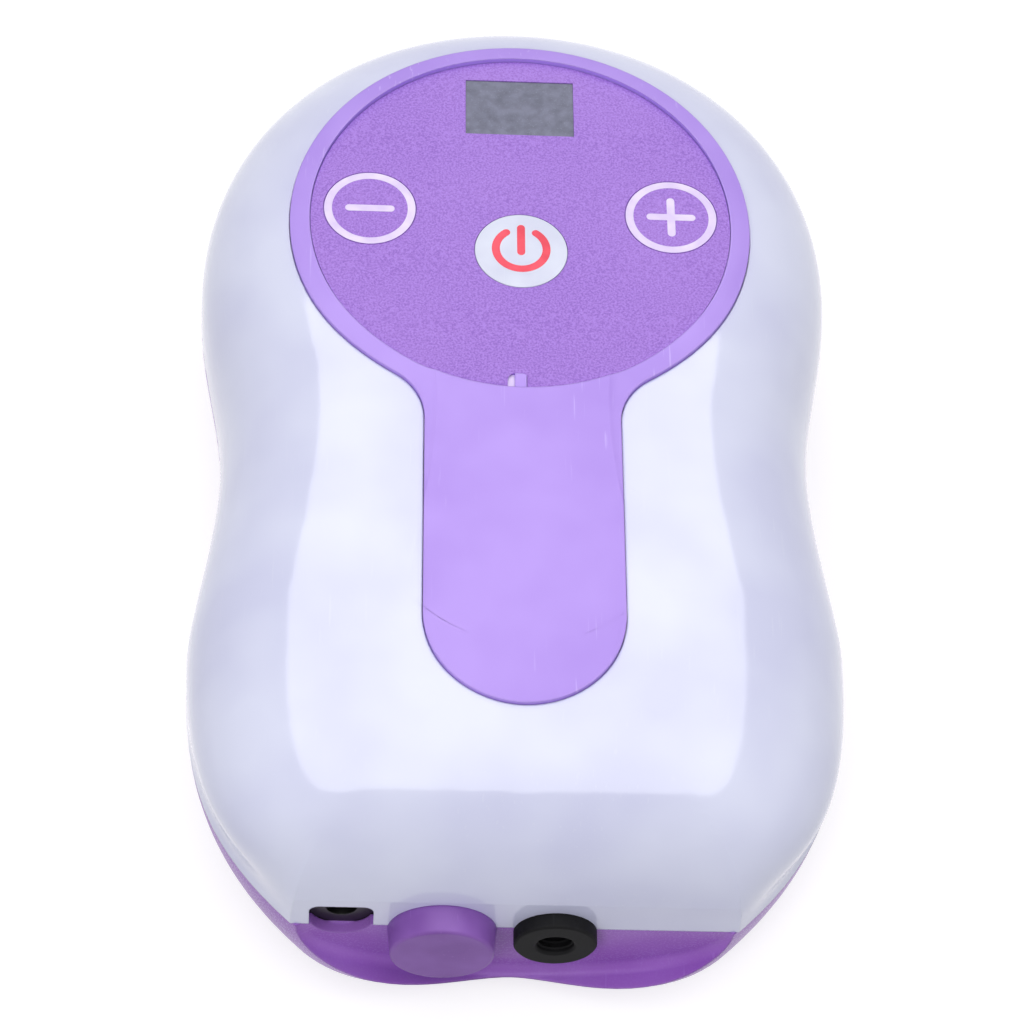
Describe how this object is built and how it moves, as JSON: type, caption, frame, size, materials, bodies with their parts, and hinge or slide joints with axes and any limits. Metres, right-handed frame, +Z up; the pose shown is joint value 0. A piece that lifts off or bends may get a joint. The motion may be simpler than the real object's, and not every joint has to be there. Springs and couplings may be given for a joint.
{
  "type": "compression therapy pump",
  "caption": "Hand-sized air pump for compression wraps: waisted two-part housing, keyhole panel with press keys and display, plugged and open air outlets, power socket, inner diaphragm pump.",
  "frame": {"origin": "on the floor, under the middle of the object's outline", "axes": "+X to the right seen from the ports, +Y to the back, away from the ports, +Z up through the keypad"},
  "size_m": [0.1284, 0.208, 0.0578],
  "materials": {
    "black_plastic": "satin",
    "black_rubber": "matte",
    "brass": "turned",
    "capacitor_can": "bright",
    "clear_silicone": "translucent",
    "display_glass": "polished",
    "foot_rubber": "matte",
    "green_board": "solder mask",
    "keypad_film": "fine grained",
    "lilac_panel": "satin",
    "motor_steel": "zinc plated",
    "pump_plastic": "moulded",
    "purple_cap": "satin",
    "purple_shell": "glossy",
    "steel": "bright zinc",
    "white_key": "satin",
    "white_shell": "glossy"
  },
  "bodies": {
    "housing": {"air_manifold": "pump_plastic", "air_outlet": "black_rubber", "base_case": "purple_shell", "board_screws": "steel", "buzzer": "black_plastic", "capped_outlet": "black_rubber", "case_screws": "steel", "control_chip": "black_plastic", "control_panel": "lilac_panel", "dc_jack": "black_plastic", "display_module": "black_plastic", "display_window": "display_glass", "filter_capacitors": "capacitor_can", "jack_pin": "steel", "key_switches": "black_plastic", "keypad_board": "green_board", "keypad_overlay": "keypad_film", "keypad_screws": "steel", "keypad_tray": "lilac_panel", "main_board": "green_board", "motor_can": "motor_steel", "motor_cradle": "foot_rubber", "motor_end_cap": "black_plastic", "pressure_sensor": "black_plastic", "pump_diaphragm": "black_rubber", "pump_frame": "pump_plastic", "pump_head": "pump_plastic", "pump_mounts": "foot_rubber", "pump_screws": "steel", "pump_tube": "clear_silicone", "rubber_feet": "foot_rubber", "sensor_tube": "clear_silicone", "top_cover": "white_shell", "valve_plate": "pump_plastic", "valve_spring": "steel", "valve_tube": "clear_silicone", "vent_valve": "motor_steel"},
    "plug": {"port_plug": "purple_cap"},
    "minus_button": {"minus_key": "keypad_film", "minus_switch_button": "black_plastic"},
    "power_button": {"power_key": "white_key", "power_switch_button": "black_plastic"},
    "plus_button": {"plus_key": "keypad_film", "plus_switch_button": "black_plastic"},
    "rotor": {"motor_shaft": "steel", "eccentric": "brass", "crank_bearing": "steel"},
    "rod": {"connecting_rod": "pump_plastic"},
    "plunger": {"valve_plunger": "steel"}
  },
  "joints": [
    {"name": "plug_pull", "type": "slide", "parent": "housing", "child": "plug", "axis": [0, -1, 0], "range_m": [0, 0.022]},
    {"name": "minus_press", "type": "slide", "parent": "housing", "child": "minus_button", "axis": [0, -0.0279, -0.9996], "range_m": [0, 0.0003], "stiffness_N_per_m": 300},
    {"name": "power_press", "type": "slide", "parent": "housing", "child": "power_button", "axis": [0, -0.0279, -0.9996], "range_m": [0, 0.0003], "stiffness_N_per_m": 300},
    {"name": "plus_press", "type": "slide", "parent": "housing", "child": "plus_button", "axis": [0, -0.0279, -0.9996], "range_m": [0, 0.0003], "stiffness_N_per_m": 300},
    {"name": "motor_spin", "type": "hinge", "parent": "housing", "child": "rotor", "pos_m": [0.024, 0.021, 0.019], "axis": [0, 1, 0], "continuous": true},
    {"name": "rod_stroke", "type": "slide", "parent": "housing", "child": "rod", "axis": [0, 0, 1], "range_m": [-0.0009, 0.0009], "stiffness_N_per_m": 400, "deforming": ["pump_diaphragm"]},
    {"name": "valve_pull", "type": "slide", "parent": "housing", "child": "plunger", "axis": [-1, 0, 0], "range_m": [0, 0.0012], "stiffness_N_per_m": 250, "deforming": ["valve_spring"]}
  ]
}
